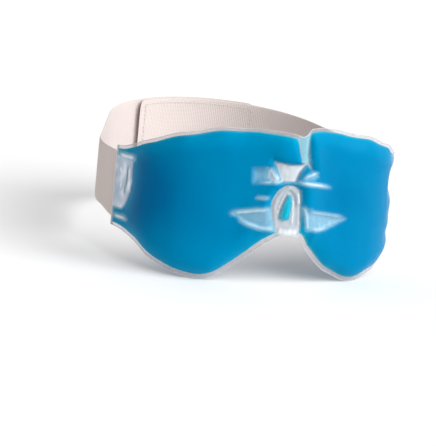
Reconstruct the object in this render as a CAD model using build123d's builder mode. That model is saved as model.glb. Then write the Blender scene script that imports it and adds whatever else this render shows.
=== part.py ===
from build123d import *
from math import cos, radians, sin, tan
import os

# Gel eye pillow with a head strap, in the shape that it takes on a head.
# Two clear vinyl sheets are welded round their rim and hold a blue gel. A strap end is bonded
# behind each end tab. The right strap overlaps the left one at the back of the head, where a
# hook patch under its tip holds a loop patch on the left strap.
# The origin is the middle of the head opening, +Z is up, the nose points along -Y and +X is the
# wearer's left. A place on the pillow is given by its arc length s from the nose along the
# weld surface, its distance n outwards from that surface, and its height z.

# Driving dimensions, in millimetres and degrees

opening_depth = 206.0  # from the nose to the back of the weld curve

# Plan of the weld surface, from the nose to the back of the head: radius and turn of each bend
nose_bend = (24.0, 29.0)
nose_side_bend = (110.0, -14.0)
cheek_bend = (153.0, 7.0)
temple_bend = (50.0, 47.0)
tab_run = 26.0
side_bend = (38.0, 40.0)
side_run = 61.5

# Heights of the pillow's cut edge at distances s from the nose
half_length = 121.0
upper_edge = [
    (0, 46), (10, 46.8), (22, 46.8), (40, 45.8), (52, 44), (68, 39.6), (80, 35.8), (90, 31.6), (105, 25.7),
    (121, 21.8),
]
lower_edge = [
    (0, -15.4), (5, -16.1), (10, -19), (16, -24.2), (24, -32), (33, -39.4), (42, -44.8), (52, -47.4),
    (60, -47), (70, -44.6), (80, -40.4), (90, -35.8), (100, -31.6), (110, -29.2), (121, -28.4),
]

# Gel thickness in front of the weld surface and behind it, at distances s from the nose
front_swell = [(0, 5.6), (70, 5.4), (85, 4.4), (98, 2.6), (108, 1.5), (118, 0.3)]
back_swell = [(0, 3.2), (75, 3.2), (100, 0.1), (118, 0.1)]
sheet_thickness = 0.4
weld_width = 2.4
edge_rise = 11.0  # distance from the weld in which the gel reaches its full thickness
gel_gap = 0.05  # between the gel and the sheets

# Welded areas inside the rim, where the two sheets meet and there is no gel
weld_slope = 28.0  # lean of the gel's flank beside a welded area
weld_reach = 12.0  # how far the shape that clears a welded area runs each way
nose_web_width, nose_web_top = 17.0, 15.0
brow_seam_place, brow_seam_width = 3.5, 4.0
brow_web_place = -2.5
brow_web_top, brow_web_bottom = 30.0, 20.0
brow_web_top_width, brow_web_bottom_width = 19.0, 8.0
tab_web_start, tab_web_bottom, tab_web_top = 104.0, -15.0, 15.0

# Straps
strap_width = 38.0
strap_thickness = 1.4
strap_middle = -1.0  # height of the strap's middle where it leaves a tab
strap_climb = 5.0  # slope of the strap up towards the back of the head
bond_start = 106.0  # a strap's end lies behind the tab from here on
bond_gap = 0.15
tab_hinge = 123.0  # where a strap bends away from its tab
hinge_clearance = 0.6
tip_corner = 6.0
tab_flare = 3.0  # how much lower a strap's lower edge is at the tab
flare_run = 13.0
edge_margin = 0.05

overlap = 45.0  # how far each strap runs past the middle of the back
tip_hinge = 12.0  # distance before the middle of the back where the tip starts to peel
hook_reach = (-8.0, 42.0)  # from the middle of the back, along the right strap
loop_reach = (-42.0, 42.0)
hook_thickness, loop_thickness, patch_gap = 0.7, 0.8, 0.3
patch_border = 1.5  # the patches are this much narrower than the strap on each side
thread_width, thread_height = 0.8, 0.3
stitch_inset = 1.5  # from the edge of a patch

# Plan curves

front_y = -opening_depth / 2
tab_heading = nose_bend[1] + nose_side_bend[1] + cheek_bend[1] + temple_bend[1]
back_heading = tab_heading + side_bend[1]
strap_n = -sheet_thickness - bond_gap - strap_thickness / 2
lap_lift = strap_thickness + loop_thickness + patch_gap + hook_thickness

with BuildLine() as pillow_plan:
    nose = JernArc((0, front_y), (1, 0), *nose_bend)
    nose_side = JernArc(nose @ 1, nose % 1, *nose_side_bend)
    cheek = JernArc(nose_side @ 1, nose_side % 1, *cheek_bend)
    temple = JernArc(cheek @ 1, cheek % 1, *temple_bend)
    tab = Line(temple @ 1, temple @ 1 + (temple % 1) * tab_run)

weld_curve = pillow_plan.wire()
tab_start = weld_curve.length - tab_run


def outwards(heading):
    """Direction away from the head where the plan curve has this heading."""
    return Vector(sin(radians(heading)), -cos(radians(heading)))


def strap_curve(lift, n):
    """Plan curve of a strap on the left side, at distance n; lift moves its back part outwards."""
    side_angle = radians(side_bend[1])
    tab_length = tab_run + lift / sin(side_angle)
    side_length = side_run - lift / tan(side_angle)
    with BuildLine() as line:
        first = temple @ 1 + outwards(tab_heading) * n
        run = Line(first, first + (temple % 1) * tab_length)
        bend = JernArc(run @ 1, run % 1, side_bend[0] + n, side_bend[1])
        behind_ear = Line(bend @ 1, bend @ 1 + (bend % 1) * side_length)
        back_radius = (behind_ear @ 1).X / sin(radians(back_heading))
        past_middle = 2 * (180 - back_heading)
        JernArc(behind_ear @ 1, behind_ear % 1, back_radius, past_middle)
    return line.wire()


def back_middle(curve):
    """Distance along a strap curve from the start of the tab to the middle of the back."""
    arc = curve.edges()[-1]
    return curve.length - arc.length / 2


def strap_piece(lift, inner, outer, start, stop, border=0.0, rounded=False, low_plane=None):
    """Band between two distances n and two distances along the strap, which climbs with the strap.
    It also keeps what lies above the low plane."""
    curve = strap_curve(lift, (inner + outer) / 2)
    path = curve.trim(start / curve.length, stop / curve.length)
    half_width = strap_width / 2 - border
    climb = Vector(0, -sin(radians(strap_climb)), cos(radians(strap_climb)))
    hinge_y = (curve.position_at(tab_hinge - tab_start, position_mode=PositionMode.LENGTH)).Y
    with BuildPart(mode=Mode.PRIVATE) as band:
        with BuildSketch():
            trace(path, line_width=outer - inner)
            if rounded:
                with Locations(path @ 0):
                    Circle((outer - inner) / 2)
        extrude(amount=opening_depth / 2, both=True)
        middle = Vector(0, hinge_y, strap_middle)
        split(bisect_by=Plane(origin=middle + climb * half_width, z_dir=climb), keep=Keep.BOTTOM)
    with BuildPart(mode=Mode.PRIVATE) as trimmed:
        add(band.part)
        split(bisect_by=Plane(origin=middle - climb * half_width, z_dir=climb), keep=Keep.TOP)
        if low_plane:
            with BuildPart(mode=Mode.PRIVATE) as flared:
                add(band.part)
                split(bisect_by=low_plane, keep=Keep.TOP)
            add(flared.part)
    return trimmed.part


def between(points, s):
    """Value at s of a dimension that is given as (s, value) points."""
    for (start, low), (stop, high) in zip(points, points[1:]):
        if s <= stop:
            return low + (high - low) * (s - start) / (stop - start)
    return points[-1][1]


def section_plane(s):
    """Plane across the pillow at s, with local x outwards and local y up."""
    point = weld_curve.position_at(abs(s), position_mode=PositionMode.LENGTH)
    along = weld_curve.tangent_at(abs(s), position_mode=PositionMode.LENGTH)
    side = 1 if s >= 0 else -1
    return Plane(
        origin=(side * point.X, point.Y),
        x_dir=(side * along.Y, -along.X),
        z_dir=(-along.X, -side * along.Y),
    )


# Where the pillow is cut into sections
places = [0, 5, 10, 16, 20, 24, 28, 33, 38, 42, 47, 52, 60, 68, 74, 80, 90, 100, 105, 110, 118, half_length]
stations = [-s for s in reversed(places[1:])] + places


def flat_sheet(start, stop):
    """The whole outline of the pillow between two distances n."""
    with BuildPart(mode=Mode.PRIVATE) as sheet:
        for s in stations:
            low, high = between(lower_edge, abs(s)), between(upper_edge, abs(s))
            with BuildSketch(section_plane(s)):
                with BuildLine():
                    Polyline((start, low), (start, high), (stop, high), (stop, low), close=True)
                make_face()
        loft(ruled=True)
    return sheet.part


def swelling(swell, side, skin, inset):
    """Swollen part of the pillow on one side of the weld surface, inside its welded rim."""
    with BuildPart(mode=Mode.PRIVATE) as pouch:
        for s in stations[1:-1]:
            low = between(lower_edge, abs(s)) + weld_width + inset
            high = between(upper_edge, abs(s)) - weld_width - inset
            crown = side * (between(swell, abs(s)) + skin)
            with BuildSketch(section_plane(s)):
                with BuildLine():
                    Bezier((0, low), (crown, low + edge_rise / 4), (crown, low + edge_rise))
                    Line((crown, low + edge_rise), (crown, high - edge_rise))
                    Bezier((crown, high - edge_rise), (crown, high - edge_rise / 4), (0, high))
                    Line((0, high), (0, low))
                make_face()
        loft(ruled=True)
    return pouch.part


def welded_areas(grow):
    """Solids that clear the gel from the welded areas inside the rim."""
    with BuildPart(mode=Mode.PRIVATE) as clear:
        with BuildSketch(Plane(origin=(0, front_y + 1, 0), x_dir=(1, 0, 0), z_dir=(0, -1, 0))):
            with BuildLine():
                arch_radius = nose_web_width / 2
                foot = between(lower_edge, 0) - weld_width
                shoulder = nose_web_top - arch_radius
                Polyline(
                    (-arch_radius, shoulder), (-arch_radius, foot), (arch_radius, foot), (arch_radius, shoulder)
                )
                ThreePointArc((-arch_radius, shoulder), (0, nose_web_top), (arch_radius, shoulder))
            make_face()
            with BuildLine():
                Polyline(
                    (brow_web_place - brow_web_top_width / 2, brow_web_top),
                    (brow_web_place - brow_web_bottom_width / 2, brow_web_bottom),
                    (brow_web_place + brow_web_bottom_width / 2, brow_web_bottom),
                    (brow_web_place + brow_web_top_width / 2, brow_web_top),
                    close=True,
                )
            make_face()
            seam_top = between(upper_edge, 0) + weld_width
            seam_bottom = (brow_web_bottom + brow_web_top) / 2
            with Locations((brow_seam_place, (seam_bottom + seam_top) / 2)):
                Rectangle(brow_seam_width, seam_top - seam_bottom)
            if grow:
                offset(amount=grow, kind=Kind.INTERSECTION)
        extrude(amount=weld_reach, both=True, taper=-weld_slope)
        for side in (-1, 1):
            frame = section_plane(side * (tab_web_start + half_length) / 2)
            window = Plane(origin=frame.origin, x_dir=frame.z_dir, z_dir=frame.x_dir)
            with BuildSketch(window):
                with Locations((0, (tab_web_bottom + tab_web_top) / 2)):
                    Rectangle(half_length - tab_web_start, tab_web_top - tab_web_bottom)
                if grow:
                    offset(amount=grow, kind=Kind.INTERSECTION)
            extrude(amount=weld_reach, both=True, taper=-weld_slope)
    return clear.part


front_envelope = swelling(front_swell, 1, sheet_thickness, 0)
front_core = swelling(front_swell, 1, 0, 0)
back_envelope = swelling(back_swell, -1, sheet_thickness, 0)
back_core = swelling(back_swell, -1, 0, 0)
sheet_welds = welded_areas(grow=0)
core_welds = welded_areas(grow=sheet_thickness)
gel_welds = welded_areas(grow=sheet_thickness + gel_gap)

with BuildPart() as front_sheet:
    add(front_envelope)
    add(sheet_welds, mode=Mode.SUBTRACT)
    add(flat_sheet(0, sheet_thickness))
    add(front_core - core_welds, mode=Mode.SUBTRACT)

with BuildPart() as back_sheet:
    add(back_envelope)
    add(sheet_welds, mode=Mode.SUBTRACT)
    add(flat_sheet(-sheet_thickness, 0))
    add(back_core - core_welds, mode=Mode.SUBTRACT)

with BuildPart() as gel_fill:
    add(swelling(front_swell, 1, -gel_gap, gel_gap))
    add(swelling(back_swell, -1, -gel_gap, gel_gap))
    add(gel_welds, mode=Mode.SUBTRACT)

# Straps and their bonded ends

inner, outer = strap_n - strap_thickness / 2, strap_n + strap_thickness / 2
hinge_distance = tab_hinge - tab_start
hinge_gap = strap_thickness / 2 + hinge_clearance
side_middle = back_middle(strap_curve(0, strap_n))
lap_middle = back_middle(strap_curve(lap_lift, strap_n))
tip_distance = lap_middle - tip_hinge
hinge_y = strap_curve(0, strap_n).position_at(hinge_distance, position_mode=PositionMode.LENGTH).Y
flare_slope = tab_flare / flare_run + tan(radians(strap_climb))
flare_start = Vector(0, hinge_y, strap_middle - strap_width / 2 - tab_flare)
tab_low_plane = Plane(origin=flare_start, z_dir=(0, 0, 1))
flare_plane = Plane(origin=flare_start, z_dir=(0, -flare_slope, 1))

with BuildPart() as strap_left_anchor:
    anchor_stop = hinge_distance - hinge_gap
    add(strap_piece(0, inner, outer, bond_start - tab_start, anchor_stop, low_plane=tab_low_plane))

with BuildPart() as strap_right_anchor:
    mirror(strap_left_anchor.part, about=Plane.YZ)

with BuildPart() as strap_left:
    left_stop = side_middle + overlap
    add(strap_piece(0, inner, outer, hinge_distance, left_stop, rounded=True, low_plane=flare_plane))

with BuildPart() as strap_right:
    right_stop = tip_distance - hinge_gap
    right_band = strap_piece(
        lap_lift, inner, outer, hinge_distance, right_stop, rounded=True, low_plane=flare_plane
    )
    mirror(right_band, about=Plane.YZ)

with BuildPart() as strap_tip:
    tip_band = strap_piece(lap_lift, inner, outer, tip_distance, lap_middle + overlap, rounded=True)
    mirror(tip_band, about=Plane.YZ)
    short_edges = strap_tip.edges().filter_by(lambda edge: abs(edge.length - strap_thickness) < edge_margin)
    fillet(short_edges.sort_by(Axis.X)[-2:], radius=tip_corner)

# Hook and loop patches, and the seams that hold them

def patch(lift, start_n, stop_n, reach, border=patch_border):
    """Flat piece on a strap, between two distances from the middle of the back."""
    middle = back_middle(strap_curve(lift, (start_n + stop_n) / 2))
    return strap_piece(lift, start_n, stop_n, middle + reach[0], middle + reach[1], border)


def seam(lift, start_n, stop_n, reach):
    """Closed line of stitching along the border of a patch."""
    line_start, line_stop = reach[0] + stitch_inset, reach[1] - stitch_inset
    line = patch(lift, start_n, stop_n, (line_start, line_stop), patch_border + stitch_inset)
    inside = (line_start + thread_width, line_stop - thread_width)
    return line - patch(lift, start_n, stop_n, inside, patch_border + stitch_inset + thread_width)


with BuildPart() as loop_patch:
    add(patch(0, outer, outer + loop_thickness, loop_reach))

with BuildPart() as loop_stitching:
    add(seam(0, inner - thread_height, inner, loop_reach))

with BuildPart() as hook_patch:
    mirror(patch(lap_lift, inner - hook_thickness, inner, hook_reach), about=Plane.YZ)

with BuildPart() as hook_stitching:
    mirror(seam(lap_lift, outer, outer + thread_height, hook_reach), about=Plane.YZ)

# Export

pieces = {
    "front_sheet": front_sheet,
    "back_sheet": back_sheet,
    "gel_fill": gel_fill,
    "strap_left_anchor": strap_left_anchor,
    "strap_right_anchor": strap_right_anchor,
    "strap_left": strap_left,
    "strap_right": strap_right,
    "strap_tip": strap_tip,
    "loop_patch": loop_patch,
    "loop_stitching": loop_stitching,
    "hook_patch": hook_patch,
    "hook_stitching": hook_stitching,
}

os.makedirs("parts", exist_ok=True)
for name, piece in pieces.items():
    piece.part.label = name
    export_step(piece.part, f"parts/{name}.step")
    print(name, len(piece.part.solids()), round(piece.part.volume, 1), piece.part.is_valid)


def hinge_point(lift, distance):
    """Place of a strap's hinge line on its plan curve."""
    return strap_curve(lift, strap_n).position_at(distance, position_mode=PositionMode.LENGTH)


print("left hinge", hinge_point(0, hinge_distance))
print("right hinge, mirrored", hinge_point(lap_lift, hinge_distance))
print("tip hinge, mirrored", hinge_point(lap_lift, tip_distance))
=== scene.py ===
import math

import bpy
import numpy as np
from mathutils import Matrix, Vector, noise


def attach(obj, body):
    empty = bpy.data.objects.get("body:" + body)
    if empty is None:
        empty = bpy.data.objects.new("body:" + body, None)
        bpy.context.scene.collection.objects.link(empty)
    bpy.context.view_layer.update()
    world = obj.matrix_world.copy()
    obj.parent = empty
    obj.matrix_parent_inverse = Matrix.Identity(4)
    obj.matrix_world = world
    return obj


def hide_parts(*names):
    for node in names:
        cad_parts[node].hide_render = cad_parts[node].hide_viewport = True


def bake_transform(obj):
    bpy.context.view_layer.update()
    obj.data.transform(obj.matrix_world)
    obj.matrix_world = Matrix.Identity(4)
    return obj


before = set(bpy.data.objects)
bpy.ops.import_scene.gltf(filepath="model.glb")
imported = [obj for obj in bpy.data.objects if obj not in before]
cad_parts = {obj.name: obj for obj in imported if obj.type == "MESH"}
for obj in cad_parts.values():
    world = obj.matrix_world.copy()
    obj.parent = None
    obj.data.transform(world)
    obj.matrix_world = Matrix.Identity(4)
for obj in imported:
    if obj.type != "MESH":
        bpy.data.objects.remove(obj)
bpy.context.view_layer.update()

# Gel eye pillow on a head strap. Lengths are in millimetres up to the making of a mesh, which
# turns them into metres. A place on the pillow is its arc length s from the nose along the weld
# surface, positive on the wearer's left, its height z, and its distance n outwards.

MM = 0.001

# Plan of the weld surface and of the straps, as in the CAD model: radius and turn of each bend

NOSE_Y = -103.0
PILLOW_BENDS = [(24.0, 29.0), (110.0, -14.0), (153.0, 7.0), (50.0, 47.0)]
TAB_RUN = 26.0
PILLOW_RUNS = PILLOW_BENDS + [(None, TAB_RUN)]
SIDE_BEND, SIDE_TURN, SIDE_RUN = 38.0, 40.0, 61.5
HALF_LENGTH = 121.0  # of the pillow, along the weld surface
TAB_START = sum(radius * math.radians(abs(turn)) for radius, turn in PILLOW_BENDS)

# Straps and closure, as in the CAD model

SHEET = 0.4  # thickness of a vinyl sheet
BOND = 0.15  # between a strap's end and the tab in front of it
STRAP_WIDTH, STRAP_THICKNESS = 38.0, 1.4
STRAP_MIDDLE = -1.0  # height of a strap's middle where it leaves its tab
STRAP_CLIMB = 5.0  # slope of the straps up towards the back of the head
STRAP_N = -SHEET - BOND - STRAP_THICKNESS / 2
HOOK, LOOP, PATCH_GAP = 0.7, 0.8, 0.3  # thickness of the patches, and the gap between them
LAP_LIFT = STRAP_THICKNESS + LOOP + PATCH_GAP + HOOK
BOND_START, TAB_HINGE = 106.0, 123.0
TAB_FLARE, FLARE_RUN = 3.0, 13.0  # a strap's lower edge drops this much where it meets the tab
OVERLAP = 45.0  # how far each strap runs past the middle of the back
TIP_HINGE = 12.0  # distance before the middle of the back where the tip starts to peel
TIP_RUN_IN = 4.0  # stretch of the tip's piece before its hinge
HOOK_REACH, LOOP_REACH = (-8.0, 42.0), (-42.0, 42.0)  # of the patches, from the middle of the back
PATCH_BORDER, STITCH_INSET = 1.5, 1.5
PATCH_SINK = 0.02  # how deep a patch sinks into its strap
SEAM_LIFT = 0.05  # how high the middle of a stitch lies above the fabric
LEFT_CORNER, TIP_CORNER = 3.0, 6.0  # radius of the corners at the straps' free ends

# Detail of the straps' meshes

BAND_STEP = 1.6
BAND_ROWS = 27
CORNER_STEPS = 9
EDGE_POWER, EDGE_THICKNESS = 10, 0.25  # how square a band's edge is, and its share of the thickness
WOBBLE = 0.036
STITCH_PITCH, STITCH_FILL = 2.9, 0.78  # distance between stitches, and the share that is thread
STITCH_RINGS, STITCH_SIDES = 7, 6
THREAD_WIDTH, THREAD_HEIGHT = 0.34, 0.26

# Pillow outline: height of the sheets' cut edge at distances s from the nose

UPPER_EDGE = [
    (0, 45.7), (10, 46.6), (22, 46.7), (40, 45.8), (52, 44.0), (68, 39.6), (80, 35.8), (90, 31.6),
    (105, 25.7), (115, 22.6), (121, 21.8),
]
LOWER_EDGE = [
    (0, -15.2), (5, -15.9), (10, -18.8), (16, -23.5), (24, -31.0), (33, -38.9), (42, -44.5), (52, -47.1),
    (60, -46.7), (70, -44.2), (80, -40.0), (90, -35.3), (100, -31.2), (110, -28.7), (121, -28.0),
]
LEFT_RAISE, LEFT_DROP = 2.6, 2.8  # the edges beside the nose are this much further out on the left
NOTCH = 1.6  # depth of the notch in the upper edge, above the nose
UPPER_RIPPLE, LOWER_RIPPLE = 0.35, 0.3
TOP_WELD, LOW_WELD, END_WELD = 1.9, 2.5, 1.2  # width of the welded rim
LOBE_WELD, CHEEK_WELD = 0.5, -0.6  # how much wider it is under the left lobe and under the cheeks

# Gel: its height over the weld surface in front and behind, at distances s from the nose

FRONT_SWELL = [(0, 5.4), (70, 5.2), (85, 4.2), (98, 2.5), (108, 1.7), (121, 1.2)]
BACK_SWELL = [(0, 3.0), (72, 3.0), (98, 0.15), (121, 0.1)]
RIM_RISE, WELD_RISE, TAB_RISE = 12.0, 4.5, 16.0  # distance from a weld in which the gel fills out
TAB_SWELL = 0.25  # share of the swell that is left beside a tab patch
GEL_EDGE = 0.05  # half the thickness of the gel's edge
SHEET_GAP = 0.03  # between the gel and the sheets

# Welded areas inside the rim, and the gel pocket inside the arch, as outlines in (s, z)

ARCH = [
    (-8.1, -23.3), (-7.7, -13.8), (-10.6, -3.3), (-11.8, 1.2), (-11.1, 6.2), (-8.7, 11.1), (-5.3, 14.5),
    (-1.9, 15.6), (1.6, 14.4), (4.3, 12.2), (5.0, 8.2), (5.3, 3.7), (6.3, -3.3), (7.3, -10.3), (6.9, -15.3),
    (7.3, -23.3),
]
BROW_WEB = [(-12.2, 28.6), (-2.6, 27.2), (6.9, 28.3), (2.8, 23.4), (1, 17.8), (-7.2, 17.2), (-8.8, 21.6)]
SEAM = [
    (-1.5, 52), (8.4, 52), (7.0, 44), (7.4, 34), (10.6, 24.6), (7.2, 28.2), (3.6, 29.4), (2.6, 33),
    (0.2, 42),
]
POCKET = [
    (-0.5, 9.4), (-3.2, 9.8), (-5.2, 4.0), (-6.4, -1.0), (-6.9, -5.2), (-4.2, -6.6), (-0.4, -5.6),
    (0.2, 0.0), (0.2, 5.0),
]
TAB_WEB = [
    (123, -16.0), (123, 15.8), (104.2, 15.4), (103.3, 3), (104.2, -3.5), (106.5, -9), (108.7, -13),
    (111.5, -15.5),
]

# Creases, where the gel is squeezed thin and the sheet is whitish: outline in (s, z), haze, share
# of the gel that is left, and half the width in which the haze fades

CREASES = {
    "left wing": (
        [(-9.8, 0.2), (-16, -0.4), (-33.5, -3.9), (-28, -8.0), (-20, -10.6), (-8, -12), (-7.6, -5)],
        0.32, 0.66, 1.8,
    ),
    "right wing": (
        [(6.6, 3.3), (9.3, 0.3), (19.8, -1.9), (40.3, -5.8), (31.8, -9.5), (23.8, -11.3), (11, -12.3),
         (8.8, -5.3)],
        0.36, 0.66, 1.6,
    ),
    "left corner": (
        [(-16, 25.0), (-14.2, 24.4), (-8.6, 17.6), (-12.8, 16.7), (-15.6, 18.6)],
        0.80, 0.45, 1.5,
    ),
    "left shade": ([(-15.3, 24.0), (-12.8, 17.4), (-23.0, 16.0), (-23.5, 23.0)], 0.26, 0.60, 3.2),
    "right corner": (
        [(3.4, 19.6), (7.0, 21.8), (13.5, 22.6), (14.5, 21.2), (9.6, 19.2)],
        0.22, 0.60, 1.2,
    ),
}
CREASE_RANGE = (-2.2, 2.4)  # distance inside the outline over which the gel gets thin

# Folds: path in (s, z), half width, height above the sheet, painted highlight (drawn as haze of the sheet),
# and the share of the path that fades at each end. A fold with a negative height is a groove between two
# ridges, darkened with painted shade.

FOLDS = {
    "arch lip": (
        [(-7.5, -12.4), (-8.9, -4.4), (-9.9, 1.1), (-9.2, 6.6), (-6.7, 11), (-2.3, 13.7), (0.9, 12.6),
         (3.3, 8), (4.4, -0.4), (5.3, -10.4)],
        1.2, 1.0, 0.60, 0.05,
    ),
    "arch inner lip": ([(-8.1, -4.4), (-6.9, 2.6), (-4.9, 8.4), (-2.3, 11.2)], 0.6, 0.4, 0.80, 0.2),
    "arch line": ([(-4.2, 12.2), (-1.8, 12.0), (0.9, 9.2), (2.3, 5.0), (3.0, 0.6)], 0.55, -0.5, 0.0, 0.25),
    "left fold": ([(-15.2, 25.2), (-12.0, 21.2), (-8.4, 17.6)], 1.4, 0.15, 0.92, 0.2),
    "arch fold": ([(-0.2, 9.2), (0.9, 4.0), (1.2, -3.0), (1.4, -10.4)], 0.9, 0.7, 0.85, 0.2),
    "arch glint": ([(2.9, 12.0), (4.0, 7.0), (4.2, 3.0)], 0.9, 0.5, 0.95, 0.25),
    "arch foot": ([(-6.6, -12.6), (-1.5, -13.4), (5.6, -13.0)], 4.6, 0.3, 0.80, 0.05),
    "brow fold": ([(-6, 18.0), (2, 17.9), (11.5, 16.4), (19.5, 14.9), (28, 13.2)], 1.1, 0.6, 0.80, 0.45),
    "brow foot": ([(-23.8, 15.6), (-13.5, 16.6), (-7, 17.6), (1.4, 17.9)], 0.9, 0.4, 0.55, 0.4),
    "right glint": ([(3.0, 19.2), (6.6, 21.6), (11, 22.6), (15, 22.8)], 1.2, 0.2, 0.72, 0.35),
    "left glint": ([(-22.6, 6.6), (-11.1, 7.4)], 1.1, 0.4, 0.42, 0.4),
    "left wing top": ([(-38, -4.6), (-30, -3.3), (-20, -1.2), (-8.0, 0.3)], 1.5, 0.5, 0.74, 0.3),
    "left wing foot": ([(-32, -6.2), (-25, -9), (-17, -11.0), (-4.5, -12.0)], 1.4, 0.5, 0.60, 0.25),
    "right wing top": ([(6.4, 3.1), (11.8, -0.7), (23.8, -2.7), (40.8, -5.7)], 1.2, 0.4, 0.56, 0.25),
    "right wing side": ([(6.7, 3.1), (9.2, -5.3), (11, -11.7)], 1.0, 0.5, 0.66, 0.1),
    "right wing foot": ([(10.6, -11.7), (19.8, -11.3), (28.8, -9.7)], 1.3, 0.4, 0.52, 0.35),
}
# Painted highlights and painted shade along the tab's folds, laid out as for FOLDS
TAB_FOLDS = {
    "upper tab glint": ([(120.8, 16.8), (110, 17.0), (97, 17.8)], 1.7, 0.5, 0.95, 0.35),
    "lower tab glint": ([(121, -21.4), (99.5, -20.0)], 1.4, 0.5, 0.88, 0.4),
    "tab ridge": ([(105.8, 14), (105.4, 3), (107.6, -8)], 1.2, 0.5, 0.85, 0.25),
    "tab fold": ([(118.5, 13), (113, 6), (113.5, -8)], 2.0, 0.4, 0.90, 0.3),
    "tab crease": ([(108.8, 13), (108.0, 3), (110.2, -8)], 0.7, -0.4, 0.0, 0.15),
}
BACK_RELIEF = 0.5  # share of the folds' height on the back sheet
BACK_FULLNESS = 0.5  # the back sheet has folds only where the gel behind is thicker than this

# Stretches of s where something changes: where it begins, is whole, begins to fade, and is gone

LEFT_RAISE_RANGE, LEFT_DROP_RANGE = (5.5, 9.0, 16, 42), (8, 16, 24, 42)
UPPER_RIPPLE_RANGE, LOWER_RIPPLE_RANGE = (14, 40, 95, 110), (20, 40, 95, 110)
WAVE_RANGE = (12, 30, 92, 104)
TEMPLE = (74, 88, 100, 106)
END_CORNER = (84, 100, 116, 121)

# Ranges over which a place comes to lie in a weld: of s, of z, or of the depth inside an outline

TAB_BEGIN, END_EDGE = (96, 104), (119.3, 120.1)
WEB_EDGE, POCKET_INSIDE, POCKET_RING, POCKET_TINT = (-0.7, 0.7), (0, 1.5), (-0.5, 0.3), (-0.8, 0.2)
BROW_RING, PATCH_RING, RIM_RING = (-1.3, 0.4), (-1.7, 0.5), (-0.4, 0.9)
SEAM_FOOT, SEAM_SIDE, SEAM_HIGHLIGHT_SIDE = (26, 31), (-1, 2), (2.5, 6.5)
BROW_FOOT = (15, 19)

# Bent left end: dents in its middle and below, and corners that turn outwards

TEMPLE_DENT, DENT_DEPTH, DENT_THINNING = (12, 9), 2.0, 0.65  # middle and reach in z, depth, gel lost
LOW_DENTS = [(0.8, (-8, 6)), (1.4, (-20, 5))]  # depth, then middle and reach in z
UPPER_CORNER, LOWER_CORNER = (1.2, (16, 24)), (1.6, (23, 29))  # height, and where it begins and is whole
WAVE_HEIGHT = 0.45  # of the ripples beside the rim

# Painted shade: darker patches in the gel's colour where it lies in shade, each a strength, then middle and
# reach in s and in z. The gel is also darker over most of each half, over a range of s and, on the right,
# z.

SHADE_POOLS = [(1.05, (-92, 34), (2, 26)), (0.20, (32, 22), (4, 14))]
RIGHT_HALF, LEFT_HALF = (0.18, (12, 40), (-34, -14)), (0.28, (6, 26))
SHADE_SHARE = 0.38  # of the colour's depth that comes from the painted shade and the darker halves
POCKET_THINNING, POCKET_FADING = 0.5, 0.8  # how much thinner and paler the gel is in the pocket

# Haze of the welded areas, from 0 for a clear sheet to 1 for a white one, with painted highlights on the
# seam's side and the end edges

ARCH_HAZE, BROW_EXTRA = 0.58, 0.15
# the seam's extra whiteness on one side is a painted highlight
SEAM_HAZE, SEAM_HIGHLIGHT = 0.50, 0.25
POCKET_EDGE_HAZE, BROW_EDGE_HAZE = 0.45, 0.35
PATCH_HAZE, PATCH_EXTRA = 0.52, 0.46
# the welded end edge is lightened with a painted highlight where the film's end catches light
END_EDGE_HIGHLIGHT, RIM_HAZE = 0.62, 0.17
WELD_MOTTLE, FOLD_MOTTLE, CREASE_MOTTLE = 0.08, 0.15, 0.3  # unevenness of the haze
GROOVE_SHADE_CLEARING = 0.35  # how much clearer the sheet is in a groove, as part of its painted shade
LOOKS = ("haze_and_highlight", "rim", "tint", "web", "patch", "groove_shade")  # fields that the sheets' material reads

# Detail of the pillow's meshes; with QUICK_GRID at 2 every other place is taken

QUICK_GRID = 1
FINE_HALF, FINE_STEP = 44.0, 0.7
COARSE_PLACES, GRID_ROWS = 62, 112
ROW_CROWDING = 0.035  # share of the height by which rows are moved towards the rim


def smooth_step(low, high, value):
    t = np.clip((value - low) / (high - low), 0, 1)
    return t * t * (3 - 2 * t)


def between(value, low, full, fading, high):
    """1 from full to fading, and 0 below low and above high."""
    return smooth_step(low, full, value) * (1 - smooth_step(fading, high, value))


def hump(value, middle, reach):
    """1 at the middle, fading out beyond its reach."""
    return np.exp(-(((value - middle) / reach) ** 2))


def curve_through(points, at):
    """Smooth curve through (place, value) points, evaluated at the given places."""
    x = np.array([p[0] for p in points], float)
    y = np.array([p[1] for p in points], float)
    slope = np.gradient(y, x)
    at = np.clip(at, x[0], x[-1])
    i = np.clip(np.searchsorted(x, at) - 1, 0, len(x) - 2)
    h = x[i + 1] - x[i]
    t = (at - x[i]) / h
    return (
        (2 * t**3 - 3 * t**2 + 1) * y[i] + (t**3 - 2 * t**2 + t) * h * slope[i]
        + (3 * t**2 - 2 * t**3) * y[i + 1] + (t**3 - t**2) * h * slope[i + 1]
    )


def path_place(s, z, path):
    """Distance from each place to a path of straight runs, and the share of the path passed there."""
    lengths = [math.dist(a, b) for a, b in zip(path, path[1:])]
    best, share, passed = np.full(np.shape(s), np.inf), np.zeros(np.shape(s)), 0.0
    for (s0, z0), (s1, z1), length in zip(path, path[1:], lengths):
        ds, dz = s1 - s0, z1 - z0
        t = np.clip(((s - s0) * ds + (z - z0) * dz) / length**2, 0, 1)
        distance = np.hypot(s - s0 - t * ds, z - z0 - t * dz)
        share = np.where(distance < best, (passed + t * length) / sum(lengths), share)
        best = np.minimum(best, distance)
        passed += length
    return best, share


def depth_inside(s, z, outline):
    """Distance to a closed outline, positive inside it and negative outside."""
    closed = outline + outline[:1]
    inside = np.zeros(np.shape(s), bool)
    for (s0, z0), (s1, z1) in zip(closed, closed[1:]):
        if z0 != z1:
            crossing = s0 + (z - z0) * (s1 - s0) / (z1 - z0)
            inside ^= ((z0 > z) != (z1 > z)) & (s < crossing)
    return np.where(inside, 1, -1) * path_place(s, z, closed)[0]


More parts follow.
